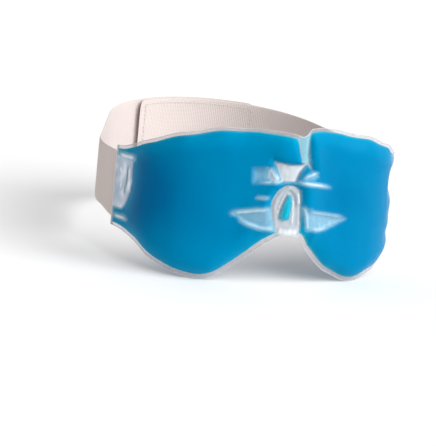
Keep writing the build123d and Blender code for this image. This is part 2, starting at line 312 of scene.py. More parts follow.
def soft_noise(s, z, size, seed):
    """Gentle noise between about -1 and 1 over the pillow."""
    flat = [noise.noise(Vector((a / size, b / size, seed))) for a, b in zip(np.ravel(s), np.ravel(z))]
    return np.array(flat).reshape(np.shape(s))


# The pillow's shape

def upper_edge(s):
    """Upper cut edge: higher on the wearer's left of the notch, and wavy away from the nose."""
    raised = LEFT_RAISE * between(s, *LEFT_RAISE_RANGE)
    notch = NOTCH * hump(s, 3.0, 3.0)
    ripple = UPPER_RIPPLE * np.sin(s / 4.1) * between(np.abs(s), *UPPER_RIPPLE_RANGE)
    return curve_through(UPPER_EDGE, np.abs(s)) + raised - notch + ripple


def lower_edge(s):
    """Lower cut edge: lower beside the nose on the wearer's left, and wavy along the lobes."""
    dropped = LEFT_DROP * between(s, *LEFT_DROP_RANGE)
    ripple = LOWER_RIPPLE * np.sin(s / 5.3 + 1.0) * between(np.abs(s), *LOWER_RIPPLE_RANGE)
    return curve_through(LOWER_EDGE, np.abs(s)) - dropped + ripple


def lean(edge, s):
    """Share of a height difference that is distance from a sloping edge."""
    step = 0.5
    return 1 / np.hypot(1, (edge(s + step) - edge(s - step)) / (2 * step))


def rim_depth(s, z):
    """Distance inside the welded rim."""
    low_weld = LOW_WELD + LOBE_WELD * hump(s, 22, 12) + CHEEK_WELD * smooth_step(60, 85, np.abs(s))
    from_top = (upper_edge(s) - z) * lean(upper_edge, s) - TOP_WELD
    from_foot = (z - lower_edge(s)) * lean(lower_edge, s) - low_weld
    return np.minimum(np.minimum(from_top, from_foot), HALF_LENGTH - np.abs(s) - END_WELD)


def weld_depth(s, z):
    """Distance outside the inner welded areas, where there is gel."""
    away = np.minimum(-depth_inside(s, z, ARCH), -depth_inside(s, z, BROW_WEB))
    away = np.minimum(away, -depth_inside(s, z, SEAM))
    away = np.minimum(away, -depth_inside(np.abs(s), z, TAB_WEB))
    return np.maximum(away, depth_inside(s, z, POCKET))


def gel_depth(s, z):
    """Distance from the nearest weld, positive where there is gel."""
    return np.minimum(rim_depth(s, z), weld_depth(s, z))


def rise(depth, reach):
    """How far gel has filled out at this distance from a weld: 0 at the weld, 1 from reach on."""
    t = np.clip(depth / reach, 0, 1)
    return (1 - (1 - t) ** 2) ** 0.75


def fold_fields(s, z, mottle):
    """Relief of the folds, the painted highlight they lay on the sheet as haze, and how deep in a groove's
    painted shade a place lies.
    """
    relief, haze_and_highlight, groove_shade = np.zeros_like(s), np.zeros_like(s), np.zeros_like(s)
    for folds, place in ((FOLDS, s), (TAB_FOLDS, np.abs(s))):
        for path, half_width, height, strength, fade in folds.values():
            distance, share = path_place(place, z, path)
            present = smooth_step(0, fade, share) * smooth_step(0, fade, 1 - share)
            fold = hump(distance, 0, half_width) * present
            relief = relief + height * fold
            # painted highlight along the fold, drawn as whitish haze
            haze_and_highlight = np.maximum(haze_and_highlight, strength * fold * (1 + FOLD_MOTTLE * mottle))
            if height < 0:
                groove_shade = np.maximum(groove_shade, fold)
    return relief, haze_and_highlight, groove_shade


def crease_fields(s, z, mottle):
    """Share of the gel that the creases leave, and how hazy they make the sheet."""
    left, haze_and_highlight = np.ones_like(s), np.zeros_like(s)
    for outline, strength, gel_left, softness in CREASES.values():
        depth = depth_inside(s, z, outline)
        left = left * (1 - (1 - gel_left) * smooth_step(*CREASE_RANGE, depth))
        uneven = 0.95 + CREASE_MOTTLE * mottle
        haze_and_highlight = np.maximum(haze_and_highlight, strength * smooth_step(-softness, softness, depth) * uneven)
    return left, haze_and_highlight


def weld_fields(s, z):
    """How much of a weld or of an edge each place is, from 0 to 1."""
    tab = smooth_step(*TAB_BEGIN, np.abs(s))
    web = 1 - smooth_step(*WEB_EDGE, weld_depth(s, z))
    pocket_depth = depth_inside(s, z, POCKET)
    pocket = smooth_step(*POCKET_INSIDE, pocket_depth)
    end_edge = smooth_step(*END_EDGE, np.abs(s))
    rim = 1 - smooth_step(*RIM_RING, rim_depth(s, z))
    return {
        "web": web,
        "nose_web": web * (1 - tab),
        "seam": web * smooth_step(*SEAM_FOOT, z) * smooth_step(*SEAM_SIDE, s) * (1 - tab),
        "brow_edge": smooth_step(*BROW_RING, depth_inside(s, z, BROW_WEB)) * (1 - web),
        "pocket": pocket,
        "pocket_edge": smooth_step(*POCKET_RING, pocket_depth) * (1 - pocket),
        "pocket_tint": smooth_step(*POCKET_TINT, pocket_depth),
        "tab_patch": smooth_step(*PATCH_RING, depth_inside(np.abs(s), z, TAB_WEB)) * tab,
        "end_edge": end_edge,
        "whole_rim": rim,
        "rim": rim * (1 - web * (1 - tab)) * (1 - end_edge),
    }


def weld_haze_and_highlight(s, z, weld, mottle):
    """How hazy the welds make the sheet, with painted highlights on one side of the seam and along the
    welded end edges.
    """
    patchy = 0.5 + 0.5 * soft_noise(s, z, 6.0, 11.0)
    arch_haze = ARCH_HAZE + BROW_EXTRA * smooth_step(*BROW_FOOT, z) + WELD_MOTTLE * mottle
    # painted highlight along one side of the seam
    seam_haze_and_highlight = SEAM_HAZE + SEAM_HIGHLIGHT * smooth_step(*SEAM_HIGHLIGHT_SIDE, s) + WELD_MOTTLE * mottle
    return np.maximum.reduce([
        weld["nose_web"] * (1 - weld["seam"]) * arch_haze,
        weld["seam"] * seam_haze_and_highlight,
        weld["pocket_edge"] * POCKET_EDGE_HAZE,
        weld["brow_edge"] * BROW_EDGE_HAZE,
        weld["tab_patch"] * (PATCH_HAZE + PATCH_EXTRA * patchy**2),
        # painted highlight along the welded end edge
        weld["end_edge"] * END_EDGE_HIGHLIGHT,
    ])


def painted_shade_and_darker_halves(s, z):
    """Painted shade in the gel's colour, and a darker tone over most of each half."""
    strength, s_range, z_range = RIGHT_HALF
    shade_and_darker = strength * smooth_step(*s_range, -s) * smooth_step(*z_range, z)
    strength, s_range = LEFT_HALF
    shade_and_darker = shade_and_darker + strength * smooth_step(*s_range, s)
    for strength, s_place, z_place in SHADE_POOLS:
        shade_and_darker = shade_and_darker + strength * hump(s, *s_place) * hump(z, *z_place)
    return np.clip(shade_and_darker, 0, 1)


def temple_dent(s, z):
    """Dent in the wearer's left end, where the pillow turns round the temple."""
    return between(s, *TEMPLE) * hump(z, *TEMPLE_DENT)


def sheet_waves(s, z):
    """How far both sheets lie off the weld surface: ripples near the rim, and the bent left end."""
    ripple = WAVE_HEIGHT * np.sin(s / 3.7 + 0.6 * np.sin(s / 11)) * between(np.abs(s), *WAVE_RANGE)
    ripple = ripple * (1 - smooth_step(0, 6, rim_depth(s, z)))
    low_dents = between(s, *TEMPLE) * sum(depth * hump(z, *place) for depth, place in LOW_DENTS)
    (upper, upper_range), (lower, lower_range) = UPPER_CORNER, LOWER_CORNER
    corners = upper * smooth_step(*upper_range, z) + lower * smooth_step(*lower_range, -z)
    return ripple - DENT_DEPTH * temple_dent(s, z) - low_dents + corners * between(s, *END_CORNER)


def pillow_fields(s, z):
    """Shape of the pillow at (s, z) and the look of its sheets there."""
    mottle = soft_noise(s, z / 3, 1.9, 7.0)
    weld = weld_fields(s, z)
    relief, fold_highlight, groove_shade = fold_fields(s, z, mottle)
    left, crease_haze = crease_fields(s, z, mottle)
    # haze of the creases and welds, with the painted highlights of the folds, the seam's side and the end
    # edges
    haze_and_highlight = np.maximum.reduce([fold_highlight, crease_haze, weld_haze_and_highlight(s, z, weld, mottle)])
    # the sheet is clearer in a groove, part of the groove's painted shade
    haze_and_highlight = np.maximum(haze_and_highlight * (1 - GROOVE_SHADE_CLEARING * groove_shade), weld["whole_rim"] * RIM_HAZE)
    beside_tab = TAB_SWELL + (1 - TAB_SWELL) * rise(-depth_inside(np.abs(s), z, TAB_WEB), TAB_RISE)
    crown = rise(rim_depth(s, z), RIM_RISE) * rise(weld_depth(s, z), WELD_RISE)
    crown = crown * (1 - POCKET_THINNING * weld["pocket"]) * beside_tab
    thickness = left * (1 - POCKET_FADING * weld["pocket"])
    uneven = 1 + 0.13 * soft_noise(s, z, 24.0, 3.0) + 0.03 * soft_noise(s, z, 9.0, 5.0)
    sagging = -0.005 * z - DENT_THINNING * temple_dent(s, z)
    return {
        "front": curve_through(FRONT_SWELL, np.abs(s)) * crown * left * (uneven + sagging),
        "back": curve_through(BACK_SWELL, np.abs(s)) * crown * (0.6 + 0.4 * left),
        "waves": sheet_waves(s, z),
        "relief": relief,
        # colour depth: the gel's thickness, with painted shade and the darker halves mixed in
        "depth": crown * ((1 - SHADE_SHARE) * thickness + SHADE_SHARE * painted_shade_and_darker_halves(s, z)),
        "haze_and_highlight": np.clip(haze_and_highlight, 0, 1),
        "rim": weld["rim"],
        "web": weld["web"],
        "tint": np.maximum(weld["seam"], 0.6 * weld["pocket_tint"]),
        "patch": np.maximum(weld["tab_patch"], weld["end_edge"]),
        "groove_shade": groove_shade,
    }


# Plan curves

def walk(x, y, heading, runs, distance):
    """Place and heading after a distance along runs: arcs (radius, turn) or lines (None, length)."""
    for radius, amount in runs:
        length = amount if radius is None else radius * math.radians(abs(amount))
        step = min(distance, length)
        if radius is None:
            x, y = x + step * math.cos(heading), y + step * math.sin(heading)
        else:
            turned = math.copysign(step / radius, amount)
            side = math.copysign(radius, amount)
            x += side * (math.sin(heading + turned) - math.sin(heading))
            y -= side * (math.cos(heading + turned) - math.cos(heading))
            heading += turned
        distance -= step
        if distance <= 0:
            break
    return x, y, heading


def pillow_point(s, z, n):
    """Point in millimetres at (s, z, n) on the pillow."""
    x, y, heading = walk(0, NOSE_Y, 0, PILLOW_RUNS, abs(s))
    side = 1 if s >= 0 else -1
    return side * (x + n * math.sin(heading)), y - n * math.cos(heading), z


def strap_runs(lift, n):
    """Start and runs of a strap's plan curve from the start of the tab, and how far its middle is."""
    x, y, heading = walk(0, NOSE_Y, 0, PILLOW_BENDS, TAB_START)
    x, y = x + n * math.sin(heading), y - n * math.cos(heading)
    turn = math.radians(SIDE_TURN)
    runs = [
        (None, TAB_RUN + lift / math.sin(turn)),
        (SIDE_BEND + n, SIDE_TURN),
        (None, SIDE_RUN - lift / math.tan(turn)),
    ]
    length = sum(b if a is None else a * math.radians(b) for a, b in runs)
    x_back, _, back_heading = walk(x, y, heading, runs, length)
    back_radius = x_back / math.sin(back_heading)
    half_turn = 180 - math.degrees(back_heading)
    middle = length + back_radius * math.radians(half_turn)
    return (x, y, heading), runs + [(back_radius, 2 * half_turn)], middle


def strap_middle(lift, n):
    """Distance from the start of the tab to the middle of the back."""
    return strap_runs(lift, n)[2]


def strap_point(lift, n, distance, height, side):
    """Point in millimetres on a strap: distance from the start of the tab, height above its middle."""
    start, runs, _ = strap_runs(lift, n)
    x, y, _ = walk(*start, runs, distance)
    hinge_y = walk(*start, runs, TAB_HINGE - TAB_START)[1]
    z = STRAP_MIDDLE + (y - hinge_y) * math.tan(math.radians(STRAP_CLIMB)) + height
    return side * x, y, z


def tab_flare(place):
    """How much lower a strap's lower edge is at this distance from the start of the tab."""
    return TAB_FLARE * (1 - smooth_step(0, FLARE_RUN, place + TAB_START - TAB_HINGE))


# Mesh making

def add_mesh(name, vertices, faces, smooth=True, **values):
    """Mesh object from points in millimetres, with named numbers on its vertices."""
    mesh = bpy.data.meshes.new(name)
    mesh.from_pydata([(x * MM, y * MM, z * MM) for x, y, z in vertices], [], faces)
    mesh.validate()
    for key, numbers in values.items():
        attribute = mesh.attributes.new(key, "FLOAT", "POINT")
        attribute.data.foreach_set("value", np.asarray(numbers, np.float32))
    if smooth:
        mesh.shade_smooth()
    else:
        mesh.shade_flat()
    piece = bpy.data.objects.new(name, mesh)
    bpy.context.scene.collection.objects.link(piece)
    return piece


def grid_faces(rows, columns, start=0, flip=False):
    """Faces of a grid of points that are numbered row by row from start."""
    faces = []
    for i in range(rows - 1):
        for j in range(columns - 1):
            a = start + i * columns + j
            face = (a, a + 1, a + columns + 1, a + columns)
            faces.append(face[::-1] if flip else face)
    return faces


def closed_sheet_faces(rows, columns):
    """Faces of two grids, the second behind the first, joined round their rim."""
    size = rows * columns
    faces = grid_faces(rows, columns) + grid_faces(rows, columns, size, flip=True)
    rim = list(range(columns))
    rim += [i * columns + columns - 1 for i in range(1, rows)]
    rim += [(rows - 1) * columns + j for j in range(columns - 2, -1, -1)]
    rim += [i * columns for i in range(rows - 2, 0, -1)]
    for a, b in zip(rim, rim[1:] + rim[:1]):
        faces.append((b, a, a + size, b + size))
    return faces


# Pillow meshes

def pillow_grid():
    """Places (s, z) on the pillow, in rows along s, closer together beside the nose and near the rim."""
    fine = np.arange(-FINE_HALF, FINE_HALF + 0.1, FINE_STEP * QUICK_GRID)
    coarse = np.linspace(fine[-1], HALF_LENGTH, int(COARSE_PLACES / QUICK_GRID))[1:]
    s = np.concatenate([-coarse[::-1], fine, coarse])
    share = np.linspace(0, 1, int(GRID_ROWS / QUICK_GRID))
    share = share - ROW_CROWDING * np.sin(2 * math.pi * share)
    s_grid, share_grid = np.meshgrid(s, share)
    low, high = lower_edge(s_grid), upper_edge(s_grid)
    return s_grid, low + share_grid * (high - low)


def make_sheet(name, s, z, fields, side):
    """One of the pillow's two sheets; side is 1 in front and -1 behind."""
    if side > 0:
        gel, relief = fields["front"], fields["relief"]
    else:
        gel = fields["back"]
        relief = -BACK_RELIEF * np.maximum(fields["relief"], 0) * (gel > BACK_FULLNESS)
    near = fields["waves"] + side * (gel + SHEET_GAP) + relief
    far = near + side * SHEET
    layers = (far, near) if side > 0 else (near, far)
    vertices = []
    for layer in layers:
        vertices += [pillow_point(a, b, n) for a, b, n in zip(s.ravel(), z.ravel(), layer.ravel())]
    looks = {key: np.tile(fields[key].ravel(), 2) for key in LOOKS}
    cut_edge = np.zeros(s.shape)
    cut_edge[0, :] = cut_edge[-1, :] = cut_edge[:, 0] = cut_edge[:, -1] = 1
    looks["cut_edge"] = np.tile(cut_edge.ravel(), 2)
    return add_mesh(name, vertices, closed_sheet_faces(*s.shape), **looks)


def cells_with(has_gel):
    """Cells of the grid that have gel at one corner or more."""
    return has_gel[:-1, :-1] | has_gel[1:, :-1] | has_gel[:-1, 1:] | has_gel[1:, 1:]


def corners_of(cells):
    """Places of the grid that are a corner of one or more of the cells."""
    corners = np.zeros((cells.shape[0] + 1, cells.shape[1] + 1), bool)
    for corner in (corners[:-1, :-1], corners[1:, :-1], corners[:-1, 1:], corners[1:, 1:]):
        corner |= cells
    return corners


def fill_pinches(has_gel):
    """Gel also where two stretches of it would meet along a single edge of the grid."""
    filled = has_gel.copy()
    for _ in range(4):
        keep = cells_with(filled)
        along = ~filled[1:-1, :-1] & ~filled[1:-1, 1:] & keep[:-1] & keep[1:]
        filled[1:-1, :-1] |= along
        filled[1:-1, 1:] |= along
        keep = cells_with(filled)
        across = ~filled[:-1, 1:-1] & ~filled[1:, 1:-1] & keep[:, :-1] & keep[:, 1:]
        filled[:-1, 1:-1] |= across
        filled[1:, 1:-1] |= across
    return filled


def onto_welds(s, z, border):
    """Places of the border moved onto the line where the gel ends."""
    delta, farthest, flattest, end_margin = 0.15, 0.8, 0.001, 0.6
    for _ in range(4):
        level = gel_depth(s, z)
        slope_s = (gel_depth(s + delta, z) - level) / delta
        slope_z = (gel_depth(s, z + delta) - level) / delta
        size = np.maximum(slope_s**2 + slope_z**2, flattest)
        move = border & (level < GEL_EDGE)
        s_step = np.clip((GEL_EDGE - level) * slope_s / size, -farthest, farthest)
        z_step = np.clip((GEL_EDGE - level) * slope_z / size, -farthest, farthest)
        s, z = np.where(move, s + s_step, s), np.where(move, z + z_step, z)
    return np.clip(s, end_margin - HALF_LENGTH, HALF_LENGTH - end_margin), z


def gel_faces(keep, inside, columns, front_id, back_id):
    """Faces in front and behind of each cell; a cell at the border is cut through a corner with gel."""
    faces = []
    for row, column in zip(*np.nonzero(keep)):
        a = row * columns + column
        corners = (a, a + 1, a + columns + 1, a + columns)
        parts = [corners]
        if not all(inside[k] for k in corners):
            turn = 0 if inside[corners[0]] or inside[corners[2]] else 1
            first, second, third, fourth = corners[turn:] + corners[:turn]
            parts = [(first, second, third), (first, third, fourth)]
        for part in parts:
            faces.append([front_id[k] for k in part])
            faces.append([back_id[k] for k in part][::-1])
    return faces


def make_gel(name, s, z):
    """The gel as closed bodies between the sheets, which come to an edge along the welds."""
    has_gel = fill_pinches(gel_depth(s, z) > GEL_EDGE)
    keep = cells_with(has_gel)
    s, z = onto_welds(s, z, ~has_gel)
    fields = pillow_fields(s, z)
    front = (fields["waves"] + np.maximum(fields["front"] + fields["relief"], GEL_EDGE)).ravel()
    back = (fields["waves"] - np.maximum(fields["back"], GEL_EDGE)).ravel()
    middle, depth = fields["waves"].ravel(), fields["depth"].ravel()
    inside, flat_s, flat_z = has_gel.ravel(), s.ravel(), z.ravel()
    vertices, depths, front_id, back_id = [], [], {}, {}
    for i in np.flatnonzero(corners_of(keep)):
        front_id[i] = back_id[i] = len(vertices)
        vertices.append(pillow_point(flat_s[i], flat_z[i], front[i] if inside[i] else middle[i]))
        depths.append(depth[i] if inside[i] else 0)
        if inside[i]:
            back_id[i] = len(vertices)
            vertices.append(pillow_point(flat_s[i], flat_z[i], back[i]))
            depths.append(depth[i])
    return add_mesh(name, vertices, gel_faces(keep, inside, s.shape[1], front_id, back_id), depth=depths)


# Strap meshes

def band_places(start, stop, corner):
    """Distances along a band, closer together in the rounded corners at its far end."""
    places = np.linspace(start, stop, max(3, int((stop - start) / BAND_STEP) + 1))
    if corner:
        rounded = stop - corner * (1 - np.sin(np.linspace(0, math.pi / 2, CORNER_STEPS)))
        places = np.concatenate([places[places < stop - corner - BAND_STEP / 2], rounded])
    return places


def corner_cut(to_end, corner):
    """How much narrower each side of a band is at this distance from its far end."""
    if to_end >= corner:
        return 0.0
    return corner - math.sqrt(max(corner**2 - (corner - to_end) ** 2, 0))


def ribbon(name, lift, n, start, stop, side, width=STRAP_WIDTH, thickness=STRAP_THICKNESS, corner=0.0):
    """Woven band along a strap's curve, with rounded edges and, at its far end, rounded corners."""
    places = band_places(start, stop, corner)
    across = np.sin(np.linspace(-math.pi / 2, math.pi / 2, BAND_ROWS))
    vertices, length_values, height_values = [], [], []
    for layer in (1, -1):
        for share in across:
            roundness = (1 - abs(share) ** EDGE_POWER) ** 0.5
            offset = layer * thickness / 2 * (EDGE_THICKNESS + (1 - EDGE_THICKNESS) * roundness)
            for place in places:
                half_width = width / 2 - corner_cut(stop - place, corner)
                wobble = WOBBLE * math.sin(place / 9.0 + 3 * share) * roundness
                height = share * half_width + min(share, 0) * tab_flare(place)
                vertices.append(strap_point(lift, n + offset + wobble, place, height, side))
                length_values.append(place)
                height_values.append(height)
    faces = closed_sheet_faces(len(across), len(places))
    if side < 0:
        faces = [face[::-1] for face in faces]
    return add_mesh(name, vertices, faces, along=length_values, across=height_values)


def stitch_places(start, stop, top):
    """Middle of each stitch round the border of a patch, and whether the stitch runs along the strap."""
    along_count, across_count = int((stop - start) / STITCH_PITCH), int(2 * top / STITCH_PITCH)
    places = []
    for height in (-top, top):
        for k in range(along_count):
            places.append((start + (k + 0.5) * (stop - start) / along_count, height, True))
    for place in (start, stop):
        for k in range(across_count):
            places.append((place, -top + (k + 0.5) * 2 * top / across_count, False))
    return places


def stitch_faces(base):
    """Faces of one stitch, whose rings of points are numbered from base."""
    faces = []
    for ring in range(STITCH_RINGS - 1):
        for k in range(STITCH_SIDES):
            a = base + ring * STITCH_SIDES + k
            b = base + ring * STITCH_SIDES + (k + 1) % STITCH_SIDES
            faces.append((a, b, b + STITCH_SIDES, a + STITCH_SIDES))
    last = base + (STITCH_RINGS - 1) * STITCH_SIDES
    faces.append(tuple(base + k for k in range(STITCH_SIDES))[::-1])
    faces.append(tuple(last + k for k in range(STITCH_SIDES)))
    return faces


def stitch_line(name, lift, n, reach, side):
    """Stitches along the border of a patch, each a small raised thread."""
    middle = strap_middle(lift, n)
    start, stop = middle + reach[0] + STITCH_INSET, middle + reach[1] - STITCH_INSET
    top = STRAP_WIDTH / 2 - PATCH_BORDER - STITCH_INSET
    vertices, faces = [], []
    for place, height, runs_along in stitch_places(start, stop, top):
        faces += stitch_faces(len(vertices))
        for share in np.linspace(-1, 1, STITCH_RINGS):
            along = share / 2 * STITCH_PITCH * STITCH_FILL
            arch = math.sqrt(max(1 - share**2, 0.04))
            for angle in np.arange(STITCH_SIDES) * 2 * math.pi / STITCH_SIDES:
                sideways = THREAD_WIDTH * arch * math.cos(angle)
                lifted = THREAD_HEIGHT * arch * math.sin(angle)
                place_k = place + (along if runs_along else sideways)
                height_k = height + (sideways if runs_along else along)
                vertices.append(strap_point(lift, n + lifted, place_k, height_k, side))
    if side < 0:
        faces = [face[::-1] for face in faces]
    return add_mesh(name, vertices, faces)


# Materials

def node_material(name, colour, roughness):
    material = bpy.data.materials.new(name)
    material.use_nodes = True
    shader = material.node_tree.nodes["Principled BSDF"]
    shader.inputs["Base Color"].default_value = (*colour, 1)
    shader.inputs["Roughness"].default_value = roughness
    return material, material.node_tree, shader


def attribute_value(tree, name):
    node = tree.nodes.new("ShaderNodeAttribute")
    node.attribute_name = name
    return node.outputs["Fac"]


def calculate(tree, operation, *values):
    """Result of a math node whose inputs are sockets or plain numbers."""
    node = tree.nodes.new("ShaderNodeMath")
    node.operation = operation
    for socket, value in zip(node.inputs, values):
        if isinstance(value, (int, float)):
            socket.default_value = value
        else:
            tree.links.new(value, socket)
    return node.outputs[0]


def colour_ramp(tree, value, stops):
    """Colour that follows a value through (place, colour) stops."""
    node = tree.nodes.new("ShaderNodeValToRGB")
    ramp = node.color_ramp
    while len(ramp.elements) < len(stops):
        ramp.elements.new(0.5)
    for element, (place, colour) in zip(ramp.elements, stops):
        element.position = place
        element.color = (*colour, 1)
    tree.links.new(value, node.inputs["Fac"])
    return node.outputs["Color"]


def mix_colours(tree, share, first, second):
    """Mix of two colours, each a socket or a plain colour."""
    node = tree.nodes.new("ShaderNodeMix")
    node.data_type = "RGBA"
    factor, colour_a, colour_b = node.inputs[0], node.inputs[6], node.inputs[7]
    for socket, value in ((colour_a, first), (colour_b, second)):
        if isinstance(value, tuple):
            socket.default_value = (*value, 1)
        else:
            tree.links.new(value, socket)
    tree.links.new(share, factor)
    return node.outputs[2]


def noise_value(tree, scale, detail=2.0):
    place = tree.nodes.new("ShaderNodeTexCoord")
    texture = tree.nodes.new("ShaderNodeTexNoise")
    texture.inputs["Scale"].default_value = scale
    texture.inputs["Detail"].default_value = detail
    tree.links.new(place.outputs["Object"], texture.inputs["Vector"])
    return texture.outputs["Fac"]


def add_bump(tree, shader, height, strength, distance):
    bump = tree.nodes.new("ShaderNodeBump")
    bump.inputs["Strength"].default_value = strength
    bump.inputs["Distance"].default_value = distance
    tree.links.new(height, bump.inputs["Height"])
    tree.links.new(bump.outputs["Normal"], shader.inputs["Normal"])


def gel_material():
    """Blue gel, teal where it is thinnest, deeper in colour where it is thick, and darker where painted
    shade is mixed into its depth.
    """
    material, tree, shader = node_material("blue_gel", (0.0, 0.22, 0.48), 0.26)
    cloudy = calculate(tree, "MULTIPLY_ADD", noise_value(tree, 28.0), 0.16, -0.08)
    depth = calculate(tree, "ADD", attribute_value(tree, "depth"), cloudy)
    colour = colour_ramp(tree, depth, [
        (0.0, (0.02, 0.50, 0.58)),
        (0.10, (0.0, 0.28, 0.45)),
        (0.30, (0.0, 0.222, 0.42)),
        (0.62, (0.0, 0.196, 0.385)),
        (1.0, (0.0, 0.117, 0.285)),
    ])
    tree.links.new(colour, shader.inputs["Base Color"])
    shader.inputs["Specular Tint"].default_value = (0.0, 0.45, 0.85, 1)
    shader.inputs["IOR"].default_value = 1.14
    return material


def vinyl_colour(tree, haze_and_highlight):
    """Colour of the vinyl where it shows: over gel, in the webs, tab patches, seam and rim, with painted
    shade in the grooves and a painted highlight along the cut edges.
    """
    creased = [(0.0, (0.34, 0.70, 0.86)), (0.45, (0.38, 0.65, 0.80)), (0.9, (0.64, 0.75, 0.82))]
    welded = [(0.3, (0.56, 0.60, 0.68)), (0.6, (0.52, 0.57, 0.62)), (0.95, (0.84, 0.88, 0.91))]
    patch = [(0.4, (0.44, 0.62, 0.80)), (0.7, (0.72, 0.80, 0.92)), (0.95, (0.92, 0.95, 1.0))]
    pale_teal, groove_shade_teal = (0.26, 0.54, 0.64), (0.12, 0.25, 0.31)
    grey, edge_highlight_grey = (0.47, 0.46, 0.52), (0.74, 0.73, 0.74)
    web, on_patch, tint, groove_shade, rim, cut = (
        attribute_value(tree, key) for key in ("web", "patch", "tint", "groove_shade", "rim", "cut_edge")
    )
    colour = mix_colours(tree, web, colour_ramp(tree, haze_and_highlight, creased), colour_ramp(tree, haze_and_highlight, welded))
    colour = mix_colours(tree, on_patch, colour, colour_ramp(tree, haze_and_highlight, patch))
    colour = mix_colours(tree, tint, colour, pale_teal)
    # painted shade: dark teal mixed in along the grooves
    colour = mix_colours(tree, calculate(tree, "MULTIPLY", groove_shade, 0.7), colour, groove_shade_teal)
    colour = mix_colours(tree, rim, colour, grey)
    # painted highlight: light grey along the sheets' cut edges, where the film's edge catches light
    return mix_colours(tree, cut, colour, edge_highlight_grey)


def vinyl_material():
    """Clear vinyl, whitish where it is welded or creased, with painted highlights along its folds, seam
    side and edges.
    """
    material, tree, shader = node_material("clear_vinyl", (0.76, 0.83, 0.90), 0.16)
    haze_and_highlight = attribute_value(tree, "haze_and_highlight")
    grain = calculate(tree, "MULTIPLY_ADD", noise_value(tree, 300.0), 0.24, 0.88)
    # the cut edges are more opaque, to carry their painted highlight
    edge = calculate(tree, "MULTIPLY", attribute_value(tree, "cut_edge"), 0.34)
    alpha = calculate(tree, "MINIMUM", calculate(tree, "MULTIPLY_ADD", haze_and_highlight, grain, edge), 0.96)
    tree.links.new(vinyl_colour(tree, haze_and_highlight), shader.inputs["Base Color"])
    tree.links.new(alpha, shader.inputs["Alpha"])
    return material


def strap_material():
    """Off-white elastic, ribbed across, with the fine lines of its warp."""
    material, tree, shader = node_material("strap_fabric", (0.665, 0.576, 0.544), 0.85)
    rib_pitch, warp_pitch = 1.3, 0.95
    along, across = attribute_value(tree, "along"), attribute_value(tree, "across")
    rib = calculate(tree, "SINE", calculate(tree, "MULTIPLY", along, 2 * math.pi / rib_pitch))
    warp = calculate(tree, "SINE", calculate(tree, "MULTIPLY", across, 2 * math.pi / warp_pitch))
    weave = calculate(tree, "MULTIPLY_ADD", rib, 0.30, calculate(tree, "MULTIPLY_ADD", warp, 0.20, 0.5))
    stops = [(0.0, (0.55, 0.47, 0.44)), (0.5, (0.66, 0.57, 0.54)), (1.0, (0.74, 0.65, 0.62))]
    tree.links.new(colour_ramp(tree, weave, stops), shader.inputs["Base Color"])
    shader.inputs["Sheen Weight"].default_value = 0.2
    add_bump(tree, shader, weave, 0.6, 0.0004)
    return material


def tape_material(name, colour, scale, strength):
    """Fuzzy loops or hooks, with painted shade in the hollows between them."""
    material, tree, shader = node_material(name, colour, 0.9)
    fuzz = noise_value(tree, scale, 4.0)
    # painted shade: darker colour where the fuzz is low
    hollow_shade = tuple(0.78 * channel for channel in colour)
    tree.links.new(colour_ramp(tree, fuzz, [(0.3, hollow_shade), (0.65, colour)]), shader.inputs["Base Color"])
    add_bump(tree, shader, fuzz, strength, 0.0008)
    return material


def thread_material():
    material, tree, shader = node_material("thread", (0.60, 0.56, 0.54), 0.7)
    stops = [(0.3, (0.50, 0.46, 0.44)), (0.7, (0.64, 0.60, 0.58))]
    tree.links.new(colour_ramp(tree, noise_value(tree, 900.0), stops), shader.inputs["Base Color"])
    return material


def stage_material(name, colour):
    material, _, shader = node_material(name, colour, 1.0)
    shader.inputs["Specular IOR Level"].default_value = 0.0
    return material


# Putting the object together

def finish_piece(piece, material, slot, *nodes):
    piece.data.materials.append(material)
    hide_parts(*nodes)


def make_pillow():
    s, z = pillow_grid()
    fields = pillow_fields(s, z)
    vinyl = vinyl_material()
    front = make_sheet("pillow_front_sheet", s, z, fields, 1)
    finish_piece(front, vinyl, "clear_vinyl", "front_sheet")
    back = make_sheet("pillow_back_sheet", s, z, fields, -1)
    finish_piece(back, vinyl, "clear_vinyl", "back_sheet")
    gel = make_gel("pillow_gel", s, z)
    finish_piece(gel, gel_material(), "blue_gel", "gel_fill")
    for piece in (front, back, gel):
        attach(piece, "pillow")


def strap_spot(distance, side, lift=0.0):
    """Point in metres in the middle of a strap."""
    return tuple(MM * value for value in strap_point(lift, STRAP_N, distance, 0, side))


